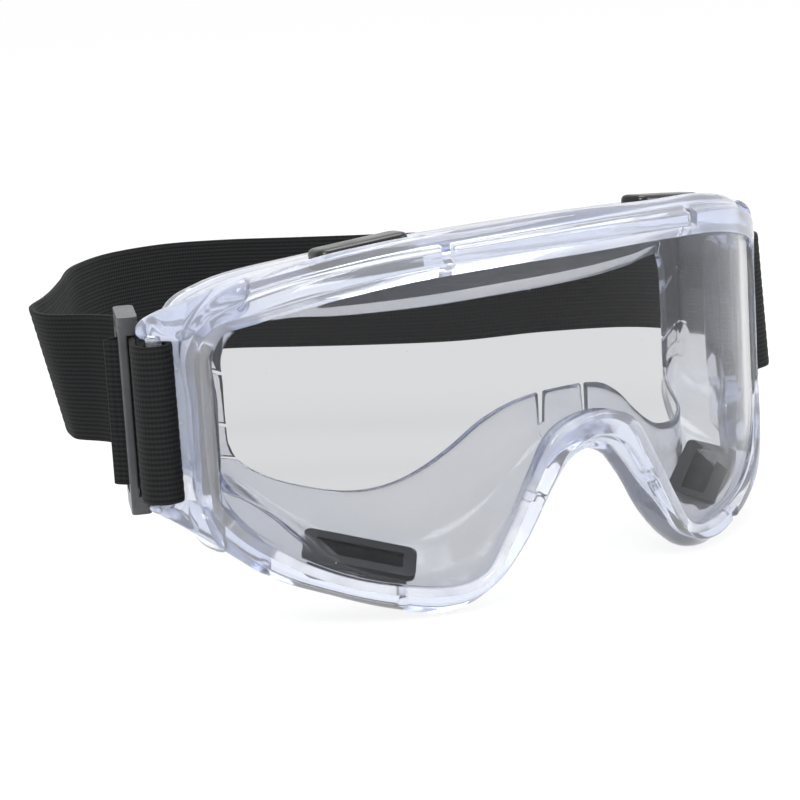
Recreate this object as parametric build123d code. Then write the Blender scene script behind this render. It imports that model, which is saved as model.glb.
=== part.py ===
from build123d import *
import os
from math import asin, cos, hypot, radians, sin, tan

# Indirect-vent safety goggles, millimetres.
# X runs across the face, -Y is the way the wearer looks, +Z is up.
# The origin lies on the mirror plane, just behind the front of the lens, at the top of the nose arch.

os.makedirs("parts", exist_ok=True)

# ---- Driving dimensions ---------------------------------------------------------------------------
# The front face of the lens seen from above: a wide middle arc between two tighter side arcs.
LENS_THICKNESS = 2.0
MIDDLE_RADIUS = 122.0
SIDE_RADIUS = 85.5
JOIN_X = 40.0
APEX_Y = -4.6
LENS_IN_GROOVE = 2.0

# The rim grips the lens from both sides. Its front lip stands back from the outer edge by RIM_STEP.
RIM_LIP = 1.6
RIM_SHOULDER = 1.6
RIM_BACK = 6.0
RIM_STEP = 2.4
RIM_END_ANGLE = 62.0

# The hollow body behind the rim and the thin flange that seals on the face.
WALL = 1.8
WALL_FRONT_Y = -10.0
WALL_BACK_Y = 50.0
BODY_START = 3.0
FLANGE = 1.6
FLANGE_STEP = 0.3
LEVEL_Z = 5.0

# The posts that the band wraps, and the ears that hold them.
POST_RADIUS = 1.8
POST_ANGLE = 58.3
POST_OFFSET = 1.3
POST_TOP = 23.5
POST_BOTTOM = -15.0
EAR_DEPTH = 5.0
UPPER_EAR = [(73, 31.5), (79.5, 29.8), (84.5, 27.2), (86.4, 25.2), (86.4, 22.2), (73, 22.2)]
LOWER_EAR = [(73, -13.8), (86.4, -13.8), (86.4, -15.6), (80.5, -22), (73, -28.5)]

# Notches that lock the rim's front lip, as (X, Z) on the +X half, and their turn from upright.
NOTCH_WIDTH = 2.6
NOTCH_LENGTH = 5.0
NOTCHES = [(34.0, 35.2, -4.0), (48.0, -36.0, 17.0), (15.7, -17.5, -60.0)]

# Vents: a slotted plate inside the wall and a louvred cap outside it.
VENT_LENGTH = 25.0
VENT_WIDTH = 11.5
VENT_CORNER = 2.0
PLATE = 1.4
SLOT_LENGTH = 19.6
SLOT_WIDTH = 5.6
NECK_CLEARANCE = 0.4
CAP = 2.2
CAP_LENGTH = 22.0
CAP_WIDTH = 8.0
CAP_GAP = 0.3
SLOT_CORNER = 0.6
SLOT_LEDGE = 1.0
BORE_CORNER = 0.5
NECK_WALL = 1.0
LOUVRES = 7
LOUVRE_PITCH = 2.8
LOUVRE_LENGTH = 1.4
LOUVRE_HEIGHT = 0.8
SEAT_EDGE = 0.8
SEAT_ROOM = 3.5
SEAT_LAP = 0.5

# Elastic band, two layers of it round each post, and its slide adjuster.
BAND_WIDTH = 34.2
BAND_THICKNESS = 1.3
BAND_BOTTOM = -13.2
POST_GAP = 0.1
WRAP_LAYERS = 2
WRAP_GAP = 0.3
SLIDER_HEIGHT = 44.8
SLIDER_LENGTH = 11.5
SLIDER_BRIDGE = 4.0
SLIDER_BAR = 2.6
SLIDER_OUTER = (0.85, 2.8)
SLIDER_MIDDLE = (1.5, 2.3)
SLIDER_KEEPER = (-1.6, -0.85)
SLIDER_PLACE = 17.5
SLIDER_CENTRE_Z = 3.8
SLIDER_TILT = 5.0
TAIL = 0.55
TAIL_GAP = 0.1
TAIL_WIDTH = 33.0

# ---- Outlines: the +X half, from the top centre round to the bottom centre, as (X, Z) -------------
WINDOW = [
    (0, 33), (24, 32.7), (46, 31), (58.5, 28.6), (69, 25.4), (75, 22.7), (76.6, 19.5), (76.8, 8),
    (77, -4), (76.9, -12.6), (74.3, -17.8), (67.6, -24.4), (57.4, -30.3), (46.2, -33.7), (38.5, -35),
    (33, -34.8), (29, -33.2), (24.4, -26.6), (16.6, -13.3), (11, -5.2), (0, -1.9),
]
RIM_OUTER = [
    (0, 42), (24, 41.2), (47, 39.9), (60, 37.6), (71, 33.6), (77.5, 29), (81, 23), (81.6, 8),
    (81.6, -4), (81.3, -13), (79, -19.5), (71.8, -29.7), (60, -35.3), (48, -39.5), (38, -41.5),
    (31, -40), (25.5, -36.5), (18.4, -29.9), (9.9, -18), (5.6, -13.2), (0, -11),
]
# The outside of the walls where they would meet the two planes WALL_FRONT_Y and WALL_BACK_Y.
WALL_FRONT = [
    (0, 39.5), (24, 39), (47, 37.5), (60, 35), (70, 31.2), (76, 27.4), (78.5, 22), (78.6, 8),
    (78.6, -4), (78.3, -13), (76.5, -18.5), (68, -29), (59, -38.5), (49, -42.4), (39, -41.8),
    (31, -40), (24.4, -36.4), (17, -29.3), (8.8, -17.6), (4.8, -12.6), (0, -10.6),
]
WALL_BACK = [
    (0, 37.5), (24, 37.2), (47, 35.8), (59, 33.8), (67, 31.2), (73, 28), (76, 23), (76, 10),
    (76, 2), (75.7, -3), (74, -7.5), (66, -11), (58, -15.5), (49, -16.6), (41, -16.5),
    (35.5, -15), (31, -12.5), (26, -9.5), (18, -6), (10, -3), (0, -2),
]
# The hole in the face flange.
FACE_OPENING = [
    (0, 21), (20, 21.2), (40, 21.8), (53, 22.4), (60, 20.5), (63.5, 15), (64, 8), (64, 0),
    (63.5, -6), (61, -10.5), (54, -14.5), (45, -16), (36, -14.5), (28, -9.5), (20, -3.5),
    (14, -0.6), (9, 1.2), (5.5, 1.2), (0, 1.6),
]
# How far back the face flange lies, as (X, Y), above and below LEVEL_Z.
FACE_UPPER = [(0, 27), (20, 28), (37, 31), (53, 37), (64, 46), (76, 52), (90, 58)]
FACE_LOWER = [(0, 7), (9, 8), (20, 12), (37, 19.5), (53, 29), (64, 46), (76, 52), (90, 58)]

# The band's middle line seen from above, from its end fold on the left post to the right post.
BAND_STRAIGHT = [(-87.1, 40.3), (-70.0, 78.7)]
BAND_PATH = [
    (-71.5, 88), (-77, 98), (-75, 107), (-66, 121), (-52, 143), (-34, 168), (-16, 180), (1, 181), (14, 173),
    (27, 159), (42, 143), (60, 127.5), (84, 118), (104, 102), (109, 82), (107, 62), (97.5, 44.5), (87.3, 40.4),
]

# ---- Worked-out dimensions ------------------------------------------------------------------------
JOIN_ANGLE = asin(JOIN_X / MIDDLE_RADIUS)
MIDDLE_Y = APEX_Y + MIDDLE_RADIUS
SIDE_X = (MIDDLE_RADIUS - SIDE_RADIUS) * sin(JOIN_ANGLE)
SIDE_Y = MIDDLE_Y - (MIDDLE_RADIUS - SIDE_RADIUS) * cos(JOIN_ANGLE)
WRAP_INNER = POST_RADIUS + POST_GAP
WRAP_RADIUS = WRAP_INNER + WRAP_LAYERS * BAND_THICKNESS
FAR = 120.0


# ---- Shared shapes --------------------------------------------------------------------------------
def both_sides(half):
    """A closed outline from its +X half."""
    return half + [(-x, z) for x, z in reversed(half[1:-1])]


def grown(half, amount):
    """The +X half of an outline moved outwards by amount, square to its own line."""
    points = both_sides(half)
    moved = []
    for index in range(len(half)):
        x0, z0 = points[index - 1]
        x1, z1 = points[(index + 1) % len(points)]
        length = hypot(x1 - x0, z1 - z0)
        x, z = points[index]
        moved.append((x - amount * (z1 - z0) / length, z + amount * (x1 - x0) / length))
    return moved


def outline_face(half, y):
    return make_face(Spline([(x, y, z) for x, z in both_sides(half)], periodic=True))


def prism(half):
    return extrude(outline_face(half, -FAR), amount=3 * FAR, dir=(0, 1, 0))


def middle_point(offset, angle):
    radius = MIDDLE_RADIUS - offset
    return (radius * sin(angle), MIDDLE_Y - radius * cos(angle))


def side_point(side, offset, angle):
    radius = SIDE_RADIUS - offset
    return (side * (SIDE_X + radius * sin(angle)), SIDE_Y - radius * cos(angle))


def front_curve(offset):
    """The lens's front line in plan, moved towards the face by offset."""
    end = radians(RIM_END_ANGLE)
    half_way = (end + JOIN_ANGLE) / 2
    arcs = [ThreePointArc(
        middle_point(offset, -JOIN_ANGLE), middle_point(offset, 0), middle_point(offset, JOIN_ANGLE)
    )]
    for side in (-1, 1):
        arcs.append(ThreePointArc(
            side_point(side, offset, JOIN_ANGLE), side_point(side, offset, half_way),
            side_point(side, offset, end),
        ))
    return arcs


def slab(front, back):
    """The upright curved slab between two offsets of the front line."""
    end = radians(RIM_END_ANGLE)
    ends = [Line(side_point(side, front, end), side_point(side, back, end)) for side in (-1, 1)]
    plan = make_face(front_curve(front) + front_curve(back) + ends)
    return Pos(0, 0, -FAR) * extrude(plan, amount=2 * FAR, dir=(0, 0, 1))


def face_line(face_half, forward):
    """The face flange's line in plan, moved away from the face by forward."""
    points = [(x, y - forward) for x, y in face_half]
    return Spline([(-x, y) for x, y in reversed(points[1:])] + points)


def body_depth(face_half, low, high):
    """Everything from inside the rim back to the face line, between two heights."""
    end = radians(RIM_END_ANGLE)
    back = face_line(face_half, 0)
    front = [side_point(side, BODY_START, end) for side in (-1, 1)]
    ends = [Line(back @ 0, front[0]), Line(back @ 1, front[1])]
    plan = make_face(front_curve(BODY_START) + [back] + ends)
    return Pos(0, 0, low) * extrude(plan, amount=high - low, dir=(0, 0, 1))


def flange_depth(face_half, low, high):
    """The thin layer just in front of the face line, between two heights."""
    front = face_line(face_half, FLANGE_STEP + FLANGE)
    back = face_line(face_half, FLANGE_STEP)
    plan = make_face([front, back, Line(front @ 0, back @ 0), Line(front @ 1, back @ 1)])
    return Pos(0, 0, low) * extrude(plan, amount=high - low, dir=(0, 0, 1))


def wall_loft(inset):
    return loft([
        outline_face(grown(WALL_FRONT, -inset), WALL_FRONT_Y),
        outline_face(grown(WALL_BACK, -inset), WALL_BACK_Y),
    ], ruled=True)


def mirrored(shape):
    return mirror(shape, about=Plane.YZ)


# ---- Lens -----------------------------------------------------------------------------------------
def make_lens():
    return prism(grown(WINDOW, LENS_IN_GROOVE)) & slab(0, LENS_THICKNESS)


# ---- Frame ----------------------------------------------------------------------------------------
def make_rim():
    window = prism(WINDOW)
    lip = prism(grown(RIM_OUTER, -RIM_STEP)) & slab(-RIM_LIP, RIM_SHOULDER)
    shoulder = prism(RIM_OUTER) & slab(RIM_SHOULDER, RIM_BACK)
    return lip + shoulder - window


def make_body():
    """Walls from the rim back to the face, and the flange with its opening."""
    upper = (FACE_UPPER, LEVEL_Z, FAR)
    lower = (FACE_LOWER, -FAR, LEVEL_Z)
    walls = (wall_loft(0) - wall_loft(WALL)) & (body_depth(*upper) + body_depth(*lower))
    flange = wall_loft(WALL / 2) & (flange_depth(*upper) + flange_depth(*lower))
    body = walls + (flange - prism(FACE_OPENING))
    for plane in VENT_PLANES.values():
        for seat, room in vent_seats(plane):
            body = body - room + seat
    return body


def make_ears():
    """The upper and lower ears on the +X side."""
    ears = []
    for outline in (UPPER_EAR, LOWER_EAR):
        face = Plane.XZ * make_face(Polyline(outline, close=True))
        block = Pos(0, FAR, 0) * extrude(face, amount=2 * FAR, dir=(0, -1, 0))
        ears.append(block & slab(-RIM_LIP, EAR_DEPTH))
    return ears[0] + ears[1]


def post_centre(side):
    return side_point(side, POST_OFFSET, radians(POST_ANGLE))


def upright_cylinder(side, radius, low, high):
    """A cylinder on one post's axis, between two heights."""
    x, y = post_centre(side)
    return Pos(x, y, low) * extrude(Circle(radius), amount=high - low)


def make_post(side):
    return upright_cylinder(side, POST_RADIUS, POST_BOTTOM, POST_TOP)


def make_wrap_room(side):
    """The space in the rim for the band that wraps the post."""
    low = BAND_BOTTOM - WRAP_GAP
    return upright_cylinder(side, WRAP_RADIUS + WRAP_GAP, low, low + BAND_WIDTH + 2 * WRAP_GAP)


def make_notches():
    """Slots through the rim's front lip."""
    cuts = []
    for side in (-1, 1):
        for x, z, turn in NOTCHES:
            shape = Rot(0, side * turn, 0) * Box(NOTCH_WIDTH, 2 * FAR, NOTCH_LENGTH)
            cuts.append(Pos(side * x, 0, z) * shape & slab(-3 * RIM_LIP, 0))
    return cuts


# ---- Vents ----------------------------------------------------------------------------------------
def vent_plane(centre, along, up):
    return Plane(origin=centre, x_dir=along, z_dir=up)


# Each vent sits on the inside of a wall: its centre there, the way its slot runs, and the inward normal.
VENT_PLANES = {
    "top": vent_plane((42.5, 19.5, 35.1), (0.985, 0.15, -0.09), (-0.085, -0.035, -0.996)),
    "bottom": vent_plane((49.3, 17.7, -28.9), (0.80, 0.545, 0.26), (-0.03, -0.40, 0.915)),
}


def vent_block(plane, length, width, low, high, corner):
    outline = RectangleRounded(length, width, corner)
    return plane * (Pos(0, 0, low) * extrude(outline, amount=high - low))


def make_vent_insert(plane):
    """The slotted plate inside the wall, with a raised edge round its slot."""
    plate = vent_block(plane, VENT_LENGTH, VENT_WIDTH, 0, PLATE, VENT_CORNER)
    recess = vent_block(plane, SLOT_LENGTH, SLOT_WIDTH, PLATE / 2, PLATE, SLOT_CORNER)
    through_length = SLOT_LENGTH - 2 * SLOT_LEDGE
    through = vent_block(plane, through_length, SLOT_WIDTH - 3 * SLOT_LEDGE, 0, PLATE, BORE_CORNER)
    return plate - recess - through


def make_vent_cover(plane):
    """The cap outside the wall, with a hollow neck through it and louvres along its long edges."""
    outside = -WALL - CAP_GAP
    neck = vent_block(plane, SLOT_LENGTH, SLOT_WIDTH, outside - CAP, 0, SLOT_CORNER)
    bore_length = SLOT_LENGTH - 2 * NECK_WALL
    bore_width = SLOT_WIDTH - 2 * NECK_WALL
    bore = vent_block(plane, bore_length, bore_width, outside - CAP + NECK_WALL, 0, BORE_CORNER)
    cap = vent_block(plane, CAP_LENGTH, CAP_WIDTH, outside - CAP, outside, VENT_CORNER)
    cover = cap + neck - bore
    for column in range(LOUVRES):
        place = (column - (LOUVRES - 1) / 2) * LOUVRE_PITCH
        louvre = Box(LOUVRE_LENGTH, 2 * CAP_WIDTH, LOUVRE_HEIGHT)
        cover -= plane * (Pos(place, 0, outside - CAP / 2) * louvre)
    return cover


def vent_seats(plane):
    """A flat seat in the wall for each of a pair of vents, and the room to clear round it."""
    length = VENT_LENGTH + 2 * SEAT_EDGE
    width = VENT_WIDTH + 2 * SEAT_EDGE
    room = vent_block(plane, length, width, -WALL - SEAT_ROOM, SEAT_ROOM, VENT_CORNER)
    seat = vent_block(plane, length + 2 * SEAT_LAP, width + 2 * SEAT_LAP, -WALL, 0, VENT_CORNER)
    hole_length = SLOT_LENGTH + NECK_CLEARANCE
    hole = vent_block(plane, hole_length, SLOT_WIDTH + NECK_CLEARANCE, -WALL, 0, SLOT_CORNER)
    seat -= hole
    return [(seat, room), (mirrored(seat), mirrored(room))]


# ---- Band and slider ------------------------------------------------------------------------------
def band_direction():
    (x0, y0), (x1, y1) = BAND_STRAIGHT
    length = hypot(x1 - x0, y1 - y0)
    return (x1 - x0) / length, (y1 - y0) / length


def corner_radii(points):
    """As large an arc at each corner as its two runs allow."""
    radii = []
    for before, corner, after in zip(points, points[1:], points[2:]):
        arriving = Vector(*corner) - Vector(*before)
        leaving = Vector(*after) - Vector(*corner)
        run = min(arriving.length, leaving.length)
        radii.append(0.45 * run / tan(radians(arriving.get_angle(leaving)) / 2))
    return radii


def make_headband():
    points = BAND_STRAIGHT + BAND_PATH
    route = FilletPolyline(*points, radius=corner_radii(points))
    print("band length, mm:", round(route.length))
    band = Pos(0, 0, BAND_BOTTOM) * extrude(trace(route, line_width=BAND_THICKNESS), amount=BAND_WIDTH)
    top = BAND_BOTTOM + BAND_WIDTH
    for side in (-1, 1):
        band += upright_cylinder(side, WRAP_RADIUS, BAND_BOTTOM, top)
        band -= upright_cylinder(side, WRAP_INNER, BAND_BOTTOM, top)
    return band


def slider_plane():
    """On the band's middle line: local X nearly upright, Y along the band, Z outwards."""
    dx, dy = band_direction()
    x0, y0 = BAND_STRAIGHT[0]
    centre = (x0 + dx * SLIDER_PLACE, y0 + dy * SLIDER_PLACE, SLIDER_CENTRE_Z)
    lean = sin(radians(SLIDER_TILT))
    upright = (-dx * lean, -dy * lean, cos(radians(SLIDER_TILT)))
    return Plane(origin=centre, x_dir=upright, z_dir=(-dy, dx, 0))


def slider_block(along, length, levels, up, height, softening=0.25):
    """A block with softened long edges: its place along the band, its two levels outwards, and up."""
    low, high = levels
    block = Box(height, length, high - low)
    block = fillet(block.edges().filter_by(Axis.X), softening * min(length, high - low))
    return slider_plane() * (Pos(up, along, (low + high) / 2) * block)


def make_slider():
    """Two outer bars and a middle bar outside the band, a keeper inside it, joined at head and foot."""
    inside_height = SLIDER_HEIGHT - SLIDER_BRIDGE
    slider = slider_block(0, SLIDER_BAR, SLIDER_MIDDLE, 0, inside_height)
    slider += slider_block(0, SLIDER_BAR, SLIDER_KEEPER, 0, inside_height)
    bar_place = (SLIDER_LENGTH - SLIDER_BAR) / 2
    bridge_place = (SLIDER_HEIGHT - SLIDER_BRIDGE) / 2
    bridge_levels = (SLIDER_KEEPER[0], SLIDER_OUTER[1])
    for way in (-1, 1):
        slider += slider_block(way * bar_place, SLIDER_BAR, SLIDER_OUTER, 0, inside_height)
        slider += slider_block(0, SLIDER_LENGTH, bridge_levels, way * bridge_place, SLIDER_BRIDGE)
    return slider


def make_tail_loop():
    """The sewn end of the band round the slider's middle bar."""
    low, high = SLIDER_MIDDLE
    room_levels = (low - TAIL_GAP, high + TAIL_GAP)
    loop_levels = (room_levels[0] - TAIL, room_levels[1] + TAIL)
    room_length = SLIDER_BAR + 2 * TAIL_GAP
    loop = slider_block(0, room_length + 2 * TAIL, loop_levels, 0, TAIL_WIDTH)
    return loop - slider_block(0, room_length, room_levels, 0, SLIDER_HEIGHT)


# ---- Build and write ------------------------------------------------------------------------------
def write(name, shape):
    solids = shape.solids()
    volume = sum(solid.volume for solid in solids)
    print(f"{name}: {len(solids)} solid(s), {volume / 1000:.2f} cm3")
    export_step(shape, f"parts/{name}.step")


lens = make_lens()
right_ears = make_ears()
rim = make_rim() + right_ears + mirrored(right_ears) - lens
for notch in make_notches():
    rim -= notch
for side in (-1, 1):
    rim = rim - make_wrap_room(side) + make_post(side)
frame = rim + make_body()

for level, plane in VENT_PLANES.items():
    cover = make_vent_cover(plane)
    insert = make_vent_insert(plane)
    write(f"{level}_right_vent_cover", cover)
    write(f"{level}_right_vent_insert", insert)
    write(f"{level}_left_vent_cover", mirrored(cover))
    write(f"{level}_left_vent_insert", mirrored(insert))

write("goggle_frame", frame)
write("lens", lens)
write("headband", make_headband())
write("band_slider", make_slider())
write("band_tail_loop", make_tail_loop())
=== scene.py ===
import math

import bmesh
import bpy
import numpy as np
from mathutils import Matrix, Vector


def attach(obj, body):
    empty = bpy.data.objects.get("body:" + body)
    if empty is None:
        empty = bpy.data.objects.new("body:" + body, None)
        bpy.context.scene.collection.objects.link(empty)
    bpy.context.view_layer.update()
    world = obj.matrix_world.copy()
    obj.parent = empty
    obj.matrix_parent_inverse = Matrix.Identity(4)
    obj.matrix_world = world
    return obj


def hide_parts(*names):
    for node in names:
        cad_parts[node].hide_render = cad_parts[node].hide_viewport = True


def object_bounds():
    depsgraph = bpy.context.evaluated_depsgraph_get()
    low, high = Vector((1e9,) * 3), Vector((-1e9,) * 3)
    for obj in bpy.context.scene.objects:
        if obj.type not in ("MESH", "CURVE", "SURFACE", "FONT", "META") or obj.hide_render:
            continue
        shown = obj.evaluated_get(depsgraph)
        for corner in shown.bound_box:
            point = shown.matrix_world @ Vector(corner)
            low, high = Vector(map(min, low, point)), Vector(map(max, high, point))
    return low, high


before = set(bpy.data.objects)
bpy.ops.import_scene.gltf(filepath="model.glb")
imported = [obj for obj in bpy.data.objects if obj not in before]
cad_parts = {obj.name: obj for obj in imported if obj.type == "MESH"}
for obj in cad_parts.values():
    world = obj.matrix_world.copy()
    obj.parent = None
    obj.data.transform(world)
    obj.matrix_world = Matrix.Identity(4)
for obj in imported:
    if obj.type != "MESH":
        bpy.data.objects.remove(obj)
CAD_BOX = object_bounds()
ROOT = "goggles"
MM = 0.001

# ---- Dimensions, millimetres, as in the CAD source ------------------------------------------------
MIDDLE_RADIUS, SIDE_RADIUS, JOIN_X, APEX_Y = 122.0, 85.5, 40.0, -4.6
LENS_THICKNESS, LENS_IN_GROOVE = 2.0, 2.0
WALL, FLANGE = 1.8, 1.3
WALL_FRONT_Y, WALL_BACK_Y = -10.0, 50.0
POST_RADIUS, POST_ANGLE, POST_OFFSET = 1.8, math.radians(58.3), 1.3

WINDOW = [
    (0, 33), (24, 32.7), (46, 31), (58.5, 28.6), (69, 25.4), (75, 22.7), (76.6, 19.5), (76.8, 8),
    (77, -4), (76.9, -12.6), (74.3, -17.8), (67.6, -24.4), (57.4, -30.3), (46.2, -33.7), (38.5, -35),
    (33, -34.8), (29, -33.2), (24.4, -26.6), (16.6, -13.3), (11, -5.2), (0, -1.9),
]
RIM_OUTER = [
    (0, 42), (24, 41.2), (47, 39.9), (60, 37.6), (71, 33.6), (77.5, 29), (81, 23), (81.6, 8),
    (81.6, -4), (81.3, -13), (79, -19.5), (71.8, -29.7), (60, -35.3), (48, -39.5), (38, -41.5),
    (31, -40), (25.5, -36.5), (18.4, -29.9), (9.9, -18), (5.6, -13.2), (0, -11),
]
WALL_FRONT = [
    (0, 39.5), (24, 39), (47, 37.5), (60, 35), (70, 31.2), (76, 27.4), (78.5, 22), (78.6, 8),
    (78.6, -4), (78.3, -13), (76.5, -18.5), (68, -29), (59, -38.5), (49, -42.4), (39, -41.8),
    (31, -40), (24.4, -36.4), (17, -29.3), (8.8, -17.6), (4.8, -12.6), (0, -10.6),
]
WALL_BACK = [
    (0, 37.5), (24, 37.2), (47, 35.8), (59, 33.8), (67, 31.2), (73, 28), (76, 23), (76, 10),
    (76, 2), (75.7, -3), (74, -7.5), (66, -11), (58, -15.5), (49, -16.6), (41, -16.5),
    (35.5, -15), (31, -12.5), (26, -9.5), (18, -6), (10, -3), (0, -2),
]
FLANGE_EDGE = [
    (0, 21.5), (22, 21.5), (42, 22), (53, 22.5), (60, 21), (62.5, 18.5), (63.8, 15), (64, 8),
    (64, -1), (63.8, -5), (63, -8), (59.5, -11.8), (53, -14.6), (45, -15.8), (38, -14.8),
    (32, -12), (26, -8), (19, -2.6), (12, 0.6), (7, 1.6), (0, 1.9),
]
HALF_POINTS = len(WINDOW) - 1
FACE_UPPER = [(0, 27), (20, 28), (37, 31), (53, 37), (64, 46), (76, 52), (90, 58)]
FACE_LOWER = [(0, 7), (9, 8), (20, 12), (37, 19.5), (53, 29), (64, 46), (76, 52), (90, 58)]
# From this point number on, the face flange follows FACE_LOWER.
LOWER_FROM = 9
STATION_STEP, PAIR_GAP = 1.3, 0.12
POST_LEVELS = (-14.8, -14.2, 0, 12, 22.4, 23.2)

BAND_WIDTH, BAND_THICKNESS, BAND_BOTTOM = 34.2, 1.3, -13.2
RIB_PITCH, RIB_HEIGHT, RIB_FLATNESS, STITCH_PITCH = 2.28, 0.10, 0.6, 0.75
WRAP_INNER_LINE, WRAP_OUTER_LINE = 2.55, 3.9
# The wraps in degrees, seen from above: where the band leaves each post, and how far it winds round it.
LEFT_WRAP, RIGHT_WRAP, WRAP_TURN, WRAP_POINTS = 165, 15, 380, 14
BAND_STRAIGHT = [(-87.1, 40.3), (-70.0, 78.7)]
BAND_PATH = [
    (-71.5, 88), (-76.5, 98), (-75, 106), (-66, 121), (-52, 143), (-34, 168), (-16, 180), (1, 181),
    (14, 173), (27, 159), (42, 143), (60, 127.5), (84, 118), (104, 102), (109, 82), (106.5, 62), (98.5, 46),
]
ROUTE_STEP, CURVE_STEPS = 1.0, 24
# How the band's lower edge draws up away from the wraps, and how it leans at its two side bends.
EDGE_RISE, RISE_FROM, RISE_OVER = 3.4, 46.0, 24.0
LEFT_LEAN, LEFT_BEND, RIGHT_LEAN, RIGHT_BEND, BEND_REACH = 6.6, 92.0, 2.6, 48.0, 22.0
# The left lean starts beyond the slider's furthest place, so the slider runs on flat elastic.
LEAN_FROM, LEAN_OVER = 58.0, 14.0

SLIDER_PLACE, SLIDER_CENTRE_Z, SLIDER_TILT = 17.5, 3.8, math.radians(5.0)
SLIDER_MIDDLE = (1.5, 2.3)
SLIDER_BAR = 2.6
TAIL_HALF_HEIGHT, TAIL_THICKNESS, TAIL_GAP, TAIL_BULGE, TAIL_FLARE = 16.4, 0.75, 0.15, 2.6, 0.3
TAIL_TURNS, TAIL_LAYERS, TAIL_PLACE_STEP, TAIL_FLAT_LENGTH = 28, 30, 0.5, 13.5

# Each vent: its centre on the inside of the wall, the way its slot runs, and the inward normal.
VENTS = {
    "top": ((42.5, 19.5, 35.1), (0.985, 0.15, -0.09), (-0.085, -0.035, -0.996)),
    "bottom": ((49.3, 17.7, -28.9), (0.80, 0.545, 0.26), (-0.03, -0.40, 0.915)),
}
SLOT_LENGTH, SLOT_WIDTH, PLATE = 19.6, 5.6, 1.4
CAP_LENGTH, CAP_WIDTH, CAP_CORNER, CAP_LEVEL = 22.0, 8.0, 2.6, -2.1
# The cap's stem as (length, width, corner radius, height), and its dome as (inset, rise).
CAP_STEM = [(19.4, 5.4, 0.6, 0.0), (19.4, 5.4, 0.6, CAP_LEVEL + 0.3), (19.8, 5.8, 0.8, CAP_LEVEL)]
CAP_DOME = [
    (0.35, 0.0), (0.05, 0.12), (0.0, 0.4), (0.0, 1.0), (0.1, 1.45), (0.35, 1.85), (0.8, 2.12),
    (1.5, 2.25), (2.6, 2.3),
]
GAUZE_GAP, GAUZE_CORNER, GAUZE_LEVELS = 0.3, 0.5, (0.02, 0.25)

# ---- Shared curves --------------------------------------------------------------------------------
JOIN_ANGLE = math.asin(JOIN_X / MIDDLE_RADIUS)
MIDDLE_Y = APEX_Y + MIDDLE_RADIUS
SIDE_X = (MIDDLE_RADIUS - SIDE_RADIUS) * math.sin(JOIN_ANGLE)
SIDE_Y = MIDDLE_Y - (MIDDLE_RADIUS - SIDE_RADIUS) * math.cos(JOIN_ANGLE)


def both_sides(half):
    return half + [(-x, z) for x, z in reversed(half[1:-1])]


class Loop:
    """A smooth closed line through points, read at point number u."""

    def __init__(self, points):
        self.p = np.array(points, float)
        self.n = len(points)
        after = np.roll(self.p, -1, 0)
        self.d = np.linalg.norm(after - self.p, axis=1)
        before_d = np.roll(self.d, 1)
        slope = (after - self.p) / self.d[:, None]
        before_slope = np.roll(slope, 1, 0)
        total = (self.d + before_d)[:, None]
        self.m = (before_slope * self.d[:, None] + slope * before_d[:, None]) / total

    def __call__(self, u):
        i = int(math.floor(u)) % self.n
        f = u - math.floor(u)
        j = (i + 1) % self.n
        d = self.d[i]
        start = (2 * f ** 3 - 3 * f ** 2 + 1) * self.p[i] + (f ** 3 - 2 * f ** 2 + f) * d * self.m[i]
        end = (3 * f ** 2 - 2 * f ** 3) * self.p[j] + (f ** 3 - f ** 2) * d * self.m[j]
        return start + end


def front_point(x, z, offset):
    """A point over (x, z) on the lens's front, then moved towards the face by offset."""
    side = math.copysign(1, x)
    if abs(x) < JOIN_X:
        angle = math.asin(x / MIDDLE_RADIUS)
        y = MIDDLE_Y - MIDDLE_RADIUS * math.cos(angle)
    else:
        angle = side * math.asin(min((abs(x) - SIDE_X) / SIDE_RADIUS, 0.95))
        y = SIDE_Y - SIDE_RADIUS * math.cos(angle)
    return np.array((x - offset * math.sin(angle), y + offset * math.cos(angle), z))


def face_y(x, lower):
    line = FACE_LOWER if lower else FACE_UPPER
    xs = [p[0] for p in line]
    ys = [p[1] for p in line]
    i = max(0, min(len(xs) - 2, int(np.searchsorted(xs, abs(x))) - 1))
    slopes = [(ys[k + 1] - ys[k]) / (xs[k + 1] - xs[k]) for k in range(len(xs) - 1)]
    tangent = [0.0] + [(slopes[k] + slopes[k + 1]) / 2 for k in range(len(slopes) - 1)] + [slopes[-1]]
    d = xs[i + 1] - xs[i]
    f = (abs(x) - xs[i]) / d
    start = (2 * f ** 3 - 3 * f ** 2 + 1) * ys[i] + (f ** 3 - 2 * f ** 2 + f) * d * tangent[i]
    return start + (3 * f ** 2 - 2 * f ** 3) * ys[i + 1] + (f ** 3 - f ** 2) * d * tangent[i + 1]


# ---- Mesh helpers ---------------------------------------------------------------------------------
def new_object(name, vertices, faces):
    mesh = bpy.data.meshes.new(name)
    mesh.from_pydata([tuple(float(c) * MM for c in v) for v in vertices], [], faces)
    mesh.validate()
    work = bmesh.new()
    work.from_mesh(mesh)
    bmesh.ops.recalc_face_normals(work, faces=work.faces)
    work.to_mesh(mesh)
    work.free()
    for polygon in mesh.polygons:
        polygon.use_smooth = True
    piece = bpy.data.objects.new(name, mesh)
    bpy.context.scene.collection.objects.link(piece)
    return piece


def closed_grid(rows, loop_rows=True):
    """Faces of rings of equal length; the rings join end to end if loop_rows."""
    count, length = len(rows), len(rows[0])
    faces = []
    for i in range(count if loop_rows else count - 1):
        for j in range(length):
            a, b = i * length + j, i * length + (j + 1) % length
            c, d = ((i + 1) % count) * length + (j + 1) % length, ((i + 1) % count) * length + j
            faces.append((a, b, c, d))
    return faces


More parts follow.
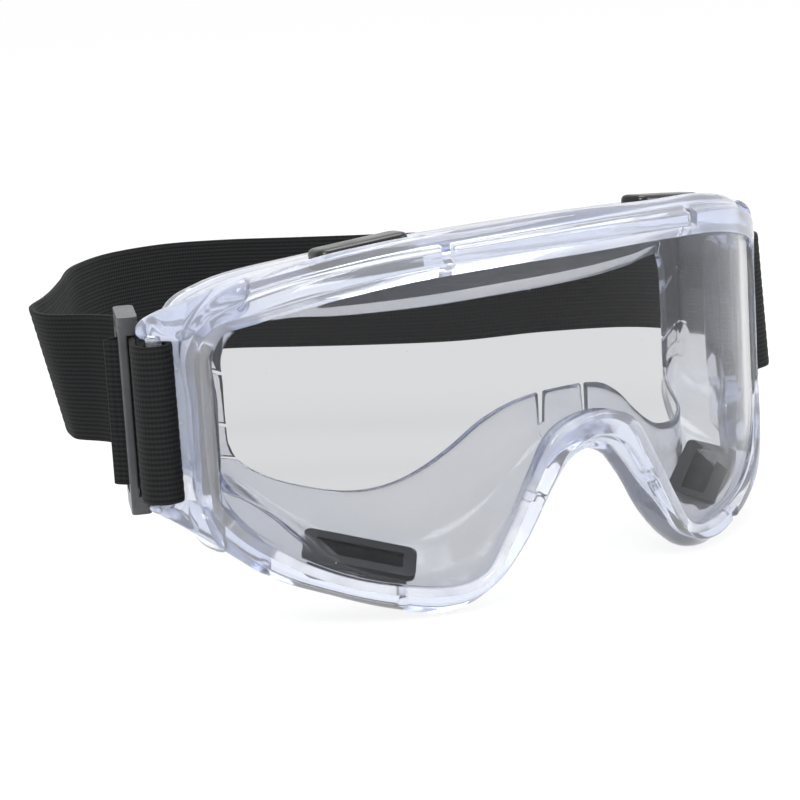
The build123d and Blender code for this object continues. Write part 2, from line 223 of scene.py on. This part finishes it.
def smoothed(piece, levels):
    """Rounds a piece by subdivision and makes that part of its mesh."""
    piece.modifiers.new("smooth", "SUBSURF").levels = levels
    graph = bpy.context.evaluated_depsgraph_get()
    mesh = bpy.data.meshes.new_from_object(piece.evaluated_get(graph))
    piece.modifiers.clear()
    piece.data = mesh
    return piece


def finish_piece(piece, material, body=ROOT):
    piece.data.materials.clear()
    piece.data.materials.append(material)
    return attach(piece, body)


# ---- Materials ------------------------------------------------------------------------------------
def new_material(name):
    material = bpy.data.materials.new(name)
    material.use_nodes = True
    tree = material.node_tree
    return material, tree, tree.nodes["Principled BSDF"]


def node(tree, kind, **inputs):
    made = tree.nodes.new(kind)
    for key, value in inputs.items():
        made.inputs[key.replace("_", " ")].default_value = value
    return made


def bump_from(tree, height, bsdf, strength, distance):
    bump = node(tree, "ShaderNodeBump", Strength=strength, Distance=distance)
    tree.links.new(height, bump.inputs["Height"])
    tree.links.new(bump.outputs["Normal"], bsdf.inputs["Normal"])


def ramp_between(tree, factor, low, high, at=(0.35, 0.65)):
    ramp = tree.nodes.new("ShaderNodeValToRGB")
    ramp.color_ramp.elements[0].position, ramp.color_ramp.elements[1].position = at
    ramp.color_ramp.elements[0].color = low
    ramp.color_ramp.elements[1].color = high
    tree.links.new(factor, ramp.inputs["Fac"])
    return ramp


def grey(level):
    return (level, level, level, 1)


def pvc_material():
    """Soft clear PVC: thin walls nearly clear, thick parts blue, with slow waves from the mould."""
    material, tree, bsdf = new_material("soft_clear_pvc")
    bsdf.inputs["Transmission Weight"].default_value = 0.88
    bsdf.inputs["IOR"].default_value = 1.40
    bsdf.inputs["Specular IOR Level"].default_value = 0.4
    place = tree.nodes.new("ShaderNodeTexCoord")
    cloud = node(tree, "ShaderNodeTexNoise", Scale=30.0, Detail=2.0)
    tree.links.new(place.outputs["Object"], cloud.inputs["Vector"])
    bluish, clear = (0.93, 0.945, 0.985, 1), (1.0, 1.0, 1.0, 1)
    tint = ramp_between(tree, cloud.outputs["Fac"], bluish, clear, (0.34, 0.58))
    tree.links.new(tint.outputs["Color"], bsdf.inputs["Base Color"])
    rough = node(tree, "ShaderNodeTexNoise", Scale=140.0, Detail=3.0)
    tree.links.new(place.outputs["Object"], rough.inputs["Vector"])
    haze = ramp_between(tree, rough.outputs["Fac"], grey(0.02), grey(0.10))
    tree.links.new(haze.outputs["Color"], bsdf.inputs["Roughness"])
    wave = node(tree, "ShaderNodeTexNoise", Scale=75.0, Detail=1.5)
    tree.links.new(place.outputs["Object"], wave.inputs["Vector"])
    bump_from(tree, wave.outputs["Fac"], bsdf, 0.2, 0.0005)
    depth = node(tree, "ShaderNodeVolumeAbsorption", Color=(0.26, 0.42, 0.86, 1), Density=40.0)
    tree.links.new(depth.outputs["Volume"], tree.nodes["Material Output"].inputs["Volume"])
    return material


def lens_material():
    """Clear polycarbonate with the faintest dust and handling marks; its grey base colour is painted shade
    for the shaded inside seen through it.
    """
    material, tree, bsdf = new_material("clear_lens")
    # Grey base colour: painted shade that darkens everything seen through the lens, in place of the shade
    # inside the goggles.
    bsdf.inputs["Base Color"].default_value = (0.61, 0.617, 0.632, 1)
    bsdf.inputs["Transmission Weight"].default_value = 1.0
    bsdf.inputs["IOR"].default_value = 1.22
    place = tree.nodes.new("ShaderNodeTexCoord")
    dust = node(tree, "ShaderNodeTexVoronoi", Scale=130.0)
    tree.links.new(place.outputs["Object"], dust.inputs["Vector"])
    marks = ramp_between(tree, dust.outputs["Distance"], grey(0.35), grey(0.015), (0.015, 0.03))
    tree.links.new(marks.outputs["Color"], bsdf.inputs["Roughness"])
    return material


def moulded_material(name, colour, rough_low, rough_high, grain, depth):
    """Moulded plastic with a fine skin grain and worn, slightly uneven gloss."""
    material, tree, bsdf = new_material(name)
    bsdf.inputs["Specular IOR Level"].default_value = 0.42
    place = tree.nodes.new("ShaderNodeTexCoord")
    patch = node(tree, "ShaderNodeTexNoise", Scale=180.0, Detail=4.0)
    tree.links.new(place.outputs["Object"], patch.inputs["Vector"])
    lighter = tuple(min(1.0, c * 1.35) for c in colour) + (1,)
    shade = ramp_between(tree, patch.outputs["Fac"], tuple(colour) + (1,), lighter)
    tree.links.new(shade.outputs["Color"], bsdf.inputs["Base Color"])
    gloss = ramp_between(tree, patch.outputs["Fac"], grey(rough_low), grey(rough_high))
    tree.links.new(gloss.outputs["Color"], bsdf.inputs["Roughness"])
    fine = node(tree, "ShaderNodeTexNoise", Scale=grain, Detail=2.0)
    tree.links.new(place.outputs["Object"], fine.inputs["Vector"])
    bump_from(tree, fine.outputs["Fac"], bsdf, 0.35, depth)
    return material


def elastic_material():
    """Black knitted elastic: rows of small stitches along each rib, a little fluff; the stitch colour is
    painted shade in the valleys and painted highlight on the crests.
    """
    material, tree, bsdf = new_material("elastic_band")
    place = tree.nodes.new("ShaderNodeAttribute")
    place.attribute_name = "cloth_place"
    parts = tree.nodes.new("ShaderNodeSeparateXYZ")
    tree.links.new(place.outputs["Vector"], parts.inputs["Vector"])

    def stripes(axis, pitch):
        turn = tree.nodes.new("ShaderNodeMath")
        turn.operation = "MULTIPLY"
        turn.inputs[1].default_value = 2 * math.pi / pitch
        tree.links.new(parts.outputs[axis], turn.inputs[0])
        wave = tree.nodes.new("ShaderNodeMath")
        wave.operation = "SINE"
        tree.links.new(turn.outputs[0], wave.inputs[0])
        return wave.outputs[0]

    knit = tree.nodes.new("ShaderNodeMath")
    knit.operation = "MULTIPLY_ADD"
    knit.inputs[1].default_value = 0.5
    tree.links.new(stripes("X", STITCH_PITCH), knit.inputs[0])
    tree.links.new(stripes("Y", RIB_PITCH / 2), knit.inputs[2])
    fluff = node(tree, "ShaderNodeTexNoise", Scale=2.2, Detail=5.0)
    tree.links.new(place.outputs["Vector"], fluff.inputs["Vector"])
    mixed = tree.nodes.new("ShaderNodeMath")
    mixed.operation = "ADD"
    tree.links.new(knit.outputs[0], mixed.inputs[0])
    tree.links.new(fluff.outputs["Fac"], mixed.inputs[1])
    # Stitch colour: painted shade in the knit's valleys and painted highlight on its crests, following the
    # bump; the fluff varies the tone at random.
    shaded_valley, lit_crest = (0.0070, 0.0073, 0.0076, 1), (0.0165, 0.0172, 0.0180, 1)
    shade = ramp_between(tree, mixed.outputs[0], shaded_valley, lit_crest, (0.0, 1.0))
    tree.links.new(shade.outputs["Color"], bsdf.inputs["Base Color"])
    bsdf.inputs["Roughness"].default_value = 0.85
    bsdf.inputs["Sheen Weight"].default_value = 0.02
    bsdf.inputs["Sheen Roughness"].default_value = 0.5
    bsdf.inputs["Specular IOR Level"].default_value = 0.14
    bump_from(tree, mixed.outputs[0], bsdf, 0.4, 0.00014)
    return material


# ---- Frame ----------------------------------------------------------------------------------------
# The rim's cross-section: share of the way from the window edge to the outer edge, and depth in mm.
RIM_SECTION = [
    (0.0, 0.0), (0.0, -0.8), (0.03, -1.25), (0.10, -1.55), (0.22, -1.6), (0.38, -1.6), (0.53, -1.6),
    (0.59, -1.45), (0.62, -1.1), (0.65, -0.5), (0.71, 0.2), (0.80, 1.0), (0.90, 1.8), (0.97, 2.9),
    (1.0, 4.2), (0.98, 5.3), (0.92, 6.1),
]
# Slits in the face flange as (point number, half width in mm, share of the flange's depth).
SLITS = [(4.35, 0.7, 0.55), (6.6, 0.6, 0.5), (8.0, 0.6, 0.5), (10.05, 0.7, 0.6), (19.15, 0.8, 0.72)]
# Notches in the rim's front lip as (point number, half width in mm), cut this deep.
NOTCHES = [(1.43, 1.15), (13.0, 1.15), (17.72, 1.15)]
NOTCH_FLOOR, NOTCH_FROM, NOTCH_TO = 0.1, 0.3, 0.66
# The rim's rear, behind the lens groove, as (share, depth) like RIM_SECTION.
RIM_REAR = [(0.12, 3.9), (0.02, 3.5), (0.0, 2.9), (0.0, LENS_THICKNESS)]
WALL_ROWS, WALL_GAP, WALL_END, LEAST_WALL = 7, 0.9, 1.4, 3.0
# The turn from the wall to the flange as (depth from the wall's end, inset).
HEEL = [(-0.5, 0.15), (0.0, 0.8)]
FLANGE_ROWS, FLANGE_INSET, FLANGE_REACH, FLANGE_ROUNDING = 5, 1.6, 9, 0.35
INNER_GAP = 0.6


def station_numbers(outer):
    """Point numbers round the rim, about STATION_STEP apart, with pairs at each slit's two edges."""
    numbers = []
    for i in range(outer.n):
        steps = max(2, math.ceil(outer.d[i] / STATION_STEP))
        numbers += [i + k / steps for k in range(steps)]
    edges = [(u, half_width) for u, half_width, _ in SLITS] + NOTCHES
    for u, half_width in edges:
        for mirror in (u, outer.n - u):
            per_mm = 1 / outer.d[int(mirror)]
            for edge in (-1, 1):
                for side in (-PAIR_GAP, PAIR_GAP):
                    numbers.append(mirror + (edge * half_width + side) * per_mm)
    return sorted(numbers)


def slit_share(u, outer):
    """How much of the flange is missing at this station."""
    for at, half_width, share in SLITS:
        for mirror in (at, outer.n - at):
            if abs(u - mirror) * outer.d[int(mirror)] < half_width:
                return share
    return 0.0


def in_notch(u, outer):
    for at, half_width in NOTCHES:
        for mirror in (at, outer.n - at):
            if abs(u - mirror) * outer.d[int(mirror)] < half_width:
                return True
    return False


def frame_section(u, loops):
    window, outer, front, back, edge = (loop(u) for loop in loops)
    lower = min(u, 2 * HALF_POINTS - u) > LOWER_FROM
    across = outer - window
    width = float(np.linalg.norm(across))

    def rim(share, depth):
        x, z = window + across * share
        return front_point(x, z, depth)

    centre_turn = loops[2](u + 0.01) - loops[2](u - 0.01)
    outward = np.array((-centre_turn[1], centre_turn[0]))
    outward /= np.linalg.norm(outward)
    if np.dot(outward, across) < 0:
        outward = -outward

    def wall(y, inset):
        share = (y - WALL_FRONT_Y) / (WALL_BACK_Y - WALL_FRONT_Y)
        x, z = front + (back - front) * share - outward * inset
        return np.array((x, y, z))

    section = []
    notched = in_notch(u, loops[1])
    for share, depth in RIM_SECTION:
        cut = notched and NOTCH_FROM < share < NOTCH_TO
        section.append(rim(share, max(depth, NOTCH_FLOOR) if cut else depth))
    start_y = section[-1][1] + WALL_GAP
    corner = back
    end_y = face_y(corner[0], lower)
    for _ in range(3):
        corner = wall(end_y, 0)
        end_y = face_y(corner[0], lower)
    end_y = max(end_y, start_y + LEAST_WALL)
    for k in range(WALL_ROWS):
        section.append(wall(start_y + (end_y - WALL_END - start_y) * k / (WALL_ROWS - 1), 0))
    section += [wall(end_y + depth, inset) for depth, inset in HEEL]
    root = wall(end_y, FLANGE_INSET)[[0, 2]]
    tip = edge + (root - edge) * slit_share(u, loops[1])
    for k in range(1, FLANGE_ROWS + 1):
        x, z = root + (tip - root) * k / FLANGE_ROWS
        section.append(np.array((x, min(face_y(x, lower), end_y + FLANGE_REACH), z)))
    x, z = tip + (tip - root) / max(np.linalg.norm(tip - root), 1) * FLANGE_ROUNDING
    section.append(np.array((x, face_y(x, lower) - FLANGE / 2, z)))
    for k in range(FLANGE_ROWS, 0, -1):
        x, z = root + (tip - root) * k / FLANGE_ROWS
        section.append(np.array((x, face_y(x, lower) - FLANGE, z)))
    inner_end = end_y - FLANGE - WALL_GAP
    rear = [rim(share, depth) for share, depth in RIM_REAR]
    inner_start = min(rear[0][1] + INNER_GAP, inner_end - INNER_GAP)
    for k in range(WALL_ROWS):
        section.append(wall(inner_end + (inner_start - inner_end) * k / (WALL_ROWS - 1), WALL))
    groove = LENS_IN_GROOVE / width
    return section + rear + [rim(groove, LENS_THICKNESS), rim(groove, 0.0)]


def make_frame(material):
    loops = [Loop(both_sides(line)) for line in (WINDOW, RIM_OUTER, WALL_FRONT, WALL_BACK, FLANGE_EDGE)]
    rows = [frame_section(u, loops) for u in station_numbers(loops[1])]
    vertices = [point for row in rows for point in row]
    piece = new_object("frame_shell", vertices, closed_grid(rows))
    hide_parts("goggle_frame")
    return finish_piece(piece, material)


def rounded_block(name, sections):
    """A closed tube through rings of equal length."""
    vertices = [p for section in sections for p in section]
    size = len(sections[0])
    faces = closed_grid(sections, loop_rows=False)
    faces.append(tuple(range(size)))
    faces.append(tuple((len(sections) - 1) * size + k for k in range(size)))
    return new_object(name, vertices, faces)


# The ears, from the rim outwards, as (X, low Z, high Z).
UPPER_EAR = [
    (70, 28.0, 35.6), (73.5, 25.0, 34), (77, 21.8, 32.2), (80.5, 21.3, 30.4), (83.6, 21.3, 28.6),
    (85.7, 21.4, 27.0), (86.6, 22.2, 25.9),
]
LOWER_EAR = [
    (70, -31, -25), (73.5, -28, -21), (77, -24.8, -14.4), (80.5, -21.4, -13.6), (83.6, -18.2, -13.5),
    (85.9, -16.0, -13.5), (86.6, -15.1, -13.8),
]
EAR_FRONT, EAR_BACK, EAR_BEVEL = -1.3, 7.5, 0.28
# The clear web behind the wrap that joins the ears, as (Z, inner X, outer X, front Y, back Y).
SIDE_WEB = [
    (-26, 73.5, 76.0, 27.0, 42.0), (-19, 75.4, 78.4, 26.0, 43.0), (-8, 75.6, 78.9, 26.0, 44.0),
    (6, 75.6, 78.9, 26.0, 44.0), (18, 75.6, 78.9, 26.0, 44.0), (25, 75.2, 78.4, 27.0, 43.0),
]


def ear_sections(side, profile):
    """Bevelled upright rectangles through an ear's profile."""
    near, far = EAR_BEVEL, 1 - EAR_BEVEL
    corners = ((0, near), (0, far), (near, 1), (far, 1), (1, far), (1, near), (far, 0), (near, 0))
    rings = []
    for x, low, high in profile:
        rings.append([
            front_point(side * x, low + (high - low) * t, EAR_FRONT + (EAR_BACK - EAR_FRONT) * s)
            for s, t in corners
        ])
    return rings


def post_place(side):
    """The X and Y of the post that the band wraps round."""
    x = side * (SIDE_X + (SIDE_RADIUS - POST_OFFSET) * math.sin(POST_ANGLE))
    y = SIDE_Y - (SIDE_RADIUS - POST_OFFSET) * math.cos(POST_ANGLE)
    return x, y


def post_sections(side):
    x, y = post_place(side)
    turns = np.linspace(0, 2 * math.pi, 24, endpoint=False)
    return [
        [(x + POST_RADIUS * math.cos(a), y + POST_RADIUS * math.sin(a), z) for a in turns]
        for z in POST_LEVELS
    ]


def web_sections(side):
    rings = []
    for z, inner, outer, front, back in SIDE_WEB:
        corners = ((inner, front), (outer, front), (outer, back), (inner, back))
        rings.append([(side * x, y, z) for x, y in corners])
    return rings


def make_ears(material):
    for side, word in ((-1, "left"), (1, "right")):
        for profile, level in ((UPPER_EAR, "upper"), (LOWER_EAR, "lower")):
            ear = rounded_block(f"{word}_{level}_ear", ear_sections(side, profile))
            finish_piece(smoothed(ear, 2), material)
        finish_piece(rounded_block(f"{word}_post", post_sections(side)), material)
        web = rounded_block(f"{word}_side_web", web_sections(side))
        finish_piece(smoothed(web, 3), material)


# ---- Lens -----------------------------------------------------------------------------------------
LENS_COLUMNS, LENS_ROWS = 121, 24
# How far the lens stays clear of the groove's floor, its faces and its two ends.
EDGE_GAP, FACE_GAP, END_GAP = 0.1, 0.04, 0.02


def make_lens(material):
    loop = Loop(both_sides(WINDOW))
    points = np.array([loop(u) for u in np.arange(0, HALF_POINTS + 0.0001, 0.1)])
    turn = np.gradient(points, axis=0)
    out = np.stack([-turn[:, 1], turn[:, 0]], 1)
    out /= np.linalg.norm(out, axis=1)[:, None]
    points = points + out * (LENS_IN_GROOVE - EDGE_GAP)
    widest = int(np.argmax(points[:, 0]))
    top = points[: widest + 1]
    low = points[widest:][::-1]
    edge_x = points[widest, 0] - END_GAP
    xs = edge_x * np.sin(np.linspace(-math.pi / 2, math.pi / 2, LENS_COLUMNS))
    rows = LENS_ROWS
    grids = []
    for depth in (FACE_GAP, LENS_THICKNESS - FACE_GAP):
        grid = []
        for x in xs:
            high = np.interp(abs(x), np.maximum.accumulate(top[:, 0]), top[:, 1])
            deep = np.interp(abs(x), np.maximum.accumulate(low[:, 0]), low[:, 1])
            grid.append([front_point(x, deep + (high - deep) * k / rows, depth) for k in range(rows + 1)])
        grids.append(grid)
    vertices = [p for grid in grids for column in grid for p in column]
    layer = len(xs) * (rows + 1)
    faces = []

    def at(side, i, k):
        return side * layer + i * (rows + 1) + k

    for i in range(len(xs) - 1):
        for k in range(rows):
            faces.append((at(0, i, k), at(0, i + 1, k), at(0, i + 1, k + 1), at(0, i, k + 1)))
            faces.append((at(1, i, k), at(1, i, k + 1), at(1, i + 1, k + 1), at(1, i + 1, k)))
        for k in (0, rows):
            faces.append((at(0, i, k), at(1, i, k), at(1, i + 1, k), at(0, i + 1, k)))
    for i in (0, len(xs) - 1):
        for k in range(rows):
            faces.append((at(0, i, k), at(0, i, k + 1), at(1, i, k + 1), at(1, i, k)))
    piece = new_object("lens_sheet", vertices, faces)
    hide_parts("lens")
    return finish_piece(piece, material)


# ---- Headband -------------------------------------------------------------------------------------
def smooth_route(points, step):
    """Evenly spaced points on a smooth open line through points."""
    points = np.array(points, float)
    first = 2 * points[0] - points[1]
    last = 2 * points[-1] - points[-2]
    padded = np.vstack([first, points, last])
    line = []
    for i in range(1, len(padded) - 2):
        a, b, c, d = padded[i - 1: i + 3]
        span = np.linalg.norm(c - b)
        before, after = np.linalg.norm(b - a), np.linalg.norm(d - c)
        m1 = ((b - a) / before * span + (c - b) / span * before) / (before + span)
        m2 = ((c - b) / span * after + (d - c) / after * span) / (after + span)
        for f in np.linspace(0, 1, CURVE_STEPS, endpoint=False):
            start = (2 * f ** 3 - 3 * f ** 2 + 1) * b + (f ** 3 - 2 * f ** 2 + f) * span * m1
            line.append(start + (3 * f ** 2 - 2 * f ** 3) * c + (f ** 3 - f ** 2) * span * m2)
    line.append(points[-1])
    line = np.array(line)
    along = np.concatenate([[0], np.cumsum(np.linalg.norm(np.diff(line, axis=0), axis=1))])
    even = np.arange(0, along[-1], step)
    return np.stack([np.interp(even, along, line[:, k]) for k in range(2)], 1), along[-1]


def smooth_step(f):
    f = min(1.0, max(0.0, f))
    return f * f * (3 - 2 * f)


def edge_rise(along, total):
    """How far the band's lower edge is drawn up at a distance along it."""
    near_end = min(along, total - along)
    return EDGE_RISE * smooth_step((near_end - RISE_FROM) / RISE_OVER)


def band_lean(along, total, share):
    """How far a height of the band stands outwards where the band leans at its side bends."""
    left = math.exp(-((along - LEFT_BEND) / BEND_REACH) ** 2) * smooth_step((along - LEAN_FROM) / LEAN_OVER)
    right = math.exp(-((total - along - RIGHT_BEND) / BEND_REACH) ** 2)
    return (share - 0.5) * (LEFT_LEAN * left - RIGHT_LEAN * right)


def band_mesh(name, route):
    """A ribbed strip that follows a plan line, closed on every side."""
    ribs = round(BAND_WIDTH / RIB_PITCH)
    per_rib = 4
    profile = []
    for k in range(ribs * per_rib + 1):
        share = k / (ribs * per_rib)
        swell = abs(math.sin(math.pi * ribs * share)) ** RIB_FLATNESS
        profile.append((share, BAND_THICKNESS / 2 - RIB_HEIGHT * (1 - swell)))
    ring = profile + [(share, -t) for share, t in reversed(profile)]
    tangent = np.gradient(route, axis=0)
    tangent /= np.linalg.norm(tangent, axis=1)[:, None]
    normal = np.stack([-tangent[:, 1], tangent[:, 0]], 1)
    rows, places = [], []
    along = np.concatenate([[0], np.cumsum(np.linalg.norm(np.diff(route, axis=0), axis=1))])
    for i, point in enumerate(route):
        rise = edge_rise(along[i], along[-1])
        row = []
        for share, t in ring:
            x, y = point + normal[i] * (t + band_lean(along[i], along[-1], share))
            row.append((x, y, BAND_BOTTOM + rise + share * (BAND_WIDTH - rise)))
            places.append((along[i], share * BAND_WIDTH, t))
        rows.append(row)
    vertices = [p for row in rows for p in row]
    size = len(ring)
    faces = closed_grid(rows, loop_rows=False)
    half = size // 2
    for start in (0, (len(rows) - 1) * size):
        for k in range(half - 1):
            faces.append((start + k, start + k + 1, start + size - 2 - k, start + size - 1 - k))
    return place_cloth(new_object(name, vertices, faces), places)


def place_cloth(piece, places):
    """Stores where each point lies on the flat elastic: along it, up it and through it."""
    spot = piece.data.attributes.new("cloth_place", "FLOAT_VECTOR", "POINT")
    spot.data.foreach_set("vector", np.array(places, np.float32).ravel())
    return piece


def wrap_points(side, angles, radii):
    """The band's middle line round a post, from one angle and radius to another."""
    x, y = post_place(side)
    return [
        (x + r * math.cos(math.radians(a)), y + r * math.sin(math.radians(a)))
        for a, r in zip(np.linspace(*angles, WRAP_POINTS), np.linspace(*radii, WRAP_POINTS))
    ]


def make_headband(material):
    left = wrap_points(-1, (LEFT_WRAP + WRAP_TURN, LEFT_WRAP), (WRAP_INNER_LINE, WRAP_OUTER_LINE))
    right = wrap_points(1, (RIGHT_WRAP, RIGHT_WRAP - WRAP_TURN), (WRAP_OUTER_LINE, WRAP_INNER_LINE))
    start, end = np.array(BAND_STRAIGHT)
    straight = [tuple(start + (end - start) * share) for share in (0.2, 0.4, 0.6, 0.8, 0.9, 1.0)]
    route, length = smooth_route(left + straight + BAND_PATH + right, ROUTE_STEP)
    piece = band_mesh("headband_elastic", route)
    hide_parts("headband")
    finish_piece(piece, material)
    return piece


# ---- Slider's tail loop ---------------------------------------------------------------------------
def slider_point(up, along, out):
    """A point in the slider's own plane: up it, along the band and outwards."""
    start, end = np.array(BAND_STRAIGHT)
    dx, dy = (end - start) / np.linalg.norm(end - start)
    x0, y0 = start + np.array((dx, dy)) * SLIDER_PLACE
    lean = math.sin(SLIDER_TILT)
    upright = np.array((-dx * lean, -dy * lean, math.cos(SLIDER_TILT)))
    outward = np.array((-dy, dx, 0))
    sideways = np.cross(outward, upright)
    return np.array((x0, y0, SLIDER_CENTRE_Z)) + upright * up + sideways * along + outward * out


def make_tail_loop(material):
    """The band's sewn end, bulging outwards round the slider's middle bar."""
    low, high = SLIDER_MIDDLE
    turns, layers = TAIL_TURNS, TAIL_LAYERS
    vertices, places = [], []
    for thickness in (TAIL_THICKNESS, 0.0):
        for k in range(layers + 1):
            up = TAIL_HALF_HEIGHT * (2 * k / layers - 1)
            for j, a in enumerate(np.linspace(0, 2 * math.pi, turns, endpoint=False)):
                bulge = TAIL_BULGE * max(0.0, math.cos(a)) ** 2
                reach_out = (high - low) / 2 + TAIL_GAP + bulge
                reach_along = SLIDER_BAR / 2 + TAIL_GAP + TAIL_FLARE * math.cos(a / 2) ** 2
                out = (low + high) / 2 + (reach_out + thickness) * math.cos(a)
                vertices.append(slider_point(up, (reach_along + thickness) * math.sin(a), out))
                places.append((j * TAIL_PLACE_STEP, up + TAIL_HALF_HEIGHT, 0.0))
    count = layers + 1
    faces = []

    def at(side, k, j):
        return (side * count + k) * turns + j % turns

    for k in range(layers):
        for j in range(turns):
            faces.append((at(0, k, j), at(0, k, j + 1), at(0, k + 1, j + 1), at(0, k + 1, j)))
            faces.append((at(1, k, j), at(1, k + 1, j), at(1, k + 1, j + 1), at(1, k, j + 1)))
    for k in (0, layers):
        for j in range(turns):
            faces.append((at(0, k, j), at(1, k, j), at(1, k, j + 1), at(0, k, j + 1)))
    piece = place_cloth(new_object("tail_loop_elastic", vertices, faces), places)
    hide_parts("band_tail_loop")
    finish_piece(piece, material, "adjuster")


# ---- Vents ----------------------------------------------------------------------------------------
def vent_point(level, side, place):
    centre, along, up = (np.array(v, float) for v in VENTS[level])
    up /= np.linalg.norm(up)
    along -= up * np.dot(along, up)
    along /= np.linalg.norm(along)
    across = np.cross(up, along)
    point = centre + along * place[0] + across * place[1] + up * place[2]
    return point * np.array((side, 1, 1))


def rounded_rectangle(length, width, corner, turns=6):
    """Points round a rectangle with rounded corners."""
    points = []
    for quarter, (sx, sy) in enumerate(((1, 1), (-1, 1), (-1, -1), (1, -1))):
        for a in np.linspace(quarter * math.pi / 2, (quarter + 1) * math.pi / 2, turns):
            x = sx * (length / 2 - corner) + corner * math.cos(a)
            y = sy * (width / 2 - corner) + corner * math.sin(a)
            points.append((x, y))
    return points


def vent_stack(name, level, side, layers):
    """A closed form through rounded rectangles; a layer is (length, width, corner, height)."""
    rings = []
    for length, width, corner, height in layers:
        outline = rounded_rectangle(length, width, corner)
        rings.append([vent_point(level, side, (x, y, height)) for x, y in outline])
    return rounded_block(name, rings)


def make_vent(level, side, cap_material, gauze_material):
    word = "left" if side < 0 else "right"
    layers = list(CAP_STEM)
    for inset, rise in CAP_DOME:
        corner = max(1.0, CAP_CORNER - inset)
        layers.append((CAP_LENGTH - 2 * inset, CAP_WIDTH - 2 * inset, corner, CAP_LEVEL - rise))
    cap = vent_stack(f"{level}_{word}_vent_cap", level, side, layers)
    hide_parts(f"{level}_{word}_vent_cover")
    finish_piece(cap, cap_material)
    length, width = SLOT_LENGTH - GAUZE_GAP, SLOT_WIDTH - GAUZE_GAP
    layers = [(length, width, GAUZE_CORNER, PLATE / 2 + rise) for rise in GAUZE_LEVELS]
    gauze = vent_stack(f"{level}_{word}_vent_gauze", level, side, layers)
    finish_piece(gauze, gauze_material)


# ---- CAD nodes that stay --------------------------------------------------------------------------
def dress_node(name, material, bevel):
    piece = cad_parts[name]
    piece.data.materials.clear()
    piece.data.materials.append(material)
    soften = piece.modifiers.new("soften", "BEVEL")
    soften.width = bevel * MM
    soften.segments = 2
    soften.limit_method = "ANGLE"
    soften.harden_normals = True
    for polygon in piece.data.polygons:
        polygon.use_smooth = True


# ---- Stage, light and camera ----------------------------------------------------------------------
AZIMUTH, ELEVATION, ROLL = math.radians(-34.45), math.radians(11.42), math.radians(-3.67)
DISTANCE, SHIFT_X, SHIFT_Z = 523.0, -39.55, -0.13
FOCAL_LENGTH, SENSOR = 107.0, 36.0


def make_camera():
    level = math.cos(ELEVATION)
    back = Vector((math.sin(AZIMUTH) * level, -math.cos(AZIMUTH) * level, math.sin(ELEVATION)))
    right = (-back).cross(Vector((0, 0, 1))).normalized()
    up = back.cross(right)
    right_r = math.cos(ROLL) * right + math.sin(ROLL) * up
    up_r = math.cos(ROLL) * up - math.sin(ROLL) * right
    place = (SHIFT_X * right_r + SHIFT_Z * up_r + DISTANCE * back) * MM
    data = bpy.data.cameras.new("camera")
    data.lens, data.sensor_width = FOCAL_LENGTH, SENSOR
    data.clip_start = 0.01
    camera = bpy.data.objects.new("camera", data)
    turn = Matrix((right_r, up_r, back)).transposed()
    camera.matrix_world = Matrix.Translation(place) @ turn.to_4x4()
    bpy.context.scene.collection.objects.link(camera)
    bpy.context.scene.camera = camera


# The lamps as (name, place, size, power); all point at LIT_PLACE.
LAMPS = [
    ("key", (-0.6, -0.5, 0.9), 0.5, 9),
    ("top", (0.3, 0.2, 1.1), 0.7, 8),
    ("fill", (0.8, -0.7, 0.5), 0.5, 4),
]
LIT_PLACE = (0, 0.05, 0)
FLOOR_REACH = 6.0


def area_light(name, place, size, power):
    data = bpy.data.lights.new(name, "AREA")
    data.shape = "SQUARE"
    data.size, data.energy = size, power
    light = bpy.data.objects.new(name, data)
    light.location = place
    light.rotation_euler = (Vector(LIT_PLACE) - Vector(place)).to_track_quat("-Z", "Y").to_euler()
    bpy.context.scene.collection.objects.link(light)


def make_stage():
    world = bpy.data.worlds.new("studio")
    world.use_nodes = True
    world.node_tree.nodes["Background"].inputs["Color"].default_value = (1, 1, 1, 1)
    world.node_tree.nodes["Background"].inputs["Strength"].default_value = 0.95
    bpy.context.scene.world = world
    bpy.context.scene.view_settings.view_transform = "Standard"
    low, _ = CAD_BOX
    mesh = bpy.data.meshes.new("floor")
    corners = [(x * FLOOR_REACH, y * FLOOR_REACH, low[2]) for x, y in ((-1, -1), (1, -1), (1, 1), (-1, 1))]
    mesh.from_pydata(corners, [], [(0, 1, 2, 3)])
    floor = bpy.data.objects.new("floor", mesh)
    bpy.context.scene.collection.objects.link(floor)
    material, _, bsdf = new_material("floor_white")
    bsdf.inputs["Base Color"].default_value = (0.16, 0.16, 0.16, 1)
    bsdf.inputs["Roughness"].default_value = 0.9
    bsdf.inputs["Specular IOR Level"].default_value = 0.0
    bsdf.inputs["Emission Color"].default_value = (1, 1, 1, 1)
    bsdf.inputs["Emission Strength"].default_value = 0.84
    mesh.materials.append(material)
    for lamp in LAMPS:
        area_light(*lamp)


# ---- Build ----------------------------------------------------------------------------------------
PVC = pvc_material()
ELASTIC = elastic_material()
BLACK_CAP = moulded_material("black_cap", (0.004, 0.004, 0.0045), 0.16, 0.30, 900.0, 0.00003)
GREY_VENT = moulded_material("grey_vent", (0.042, 0.045, 0.048), 0.42, 0.6, 1500.0, 0.00008)
DARK_GAUZE = moulded_material("dark_gauze", (0.012, 0.013, 0.014), 0.7, 0.9, 2600.0, 0.00012)
SLIDER_PLASTIC = moulded_material("slider_plastic", (0.052, 0.054, 0.057), 0.24, 0.38, 1300.0, 0.00006)

make_frame(PVC)
make_ears(PVC)
make_lens(lens_material())
make_headband(ELASTIC)
make_tail_loop(ELASTIC)
for level in VENTS:
    for side, word in ((-1, "left"), (1, "right")):
        make_vent(level, side, BLACK_CAP, DARK_GAUZE)
        dress_node(f"{level}_{word}_vent_insert", GREY_VENT, 0.2)
dress_node("band_slider", SLIDER_PLASTIC, 0.3)
make_stage()
make_camera()
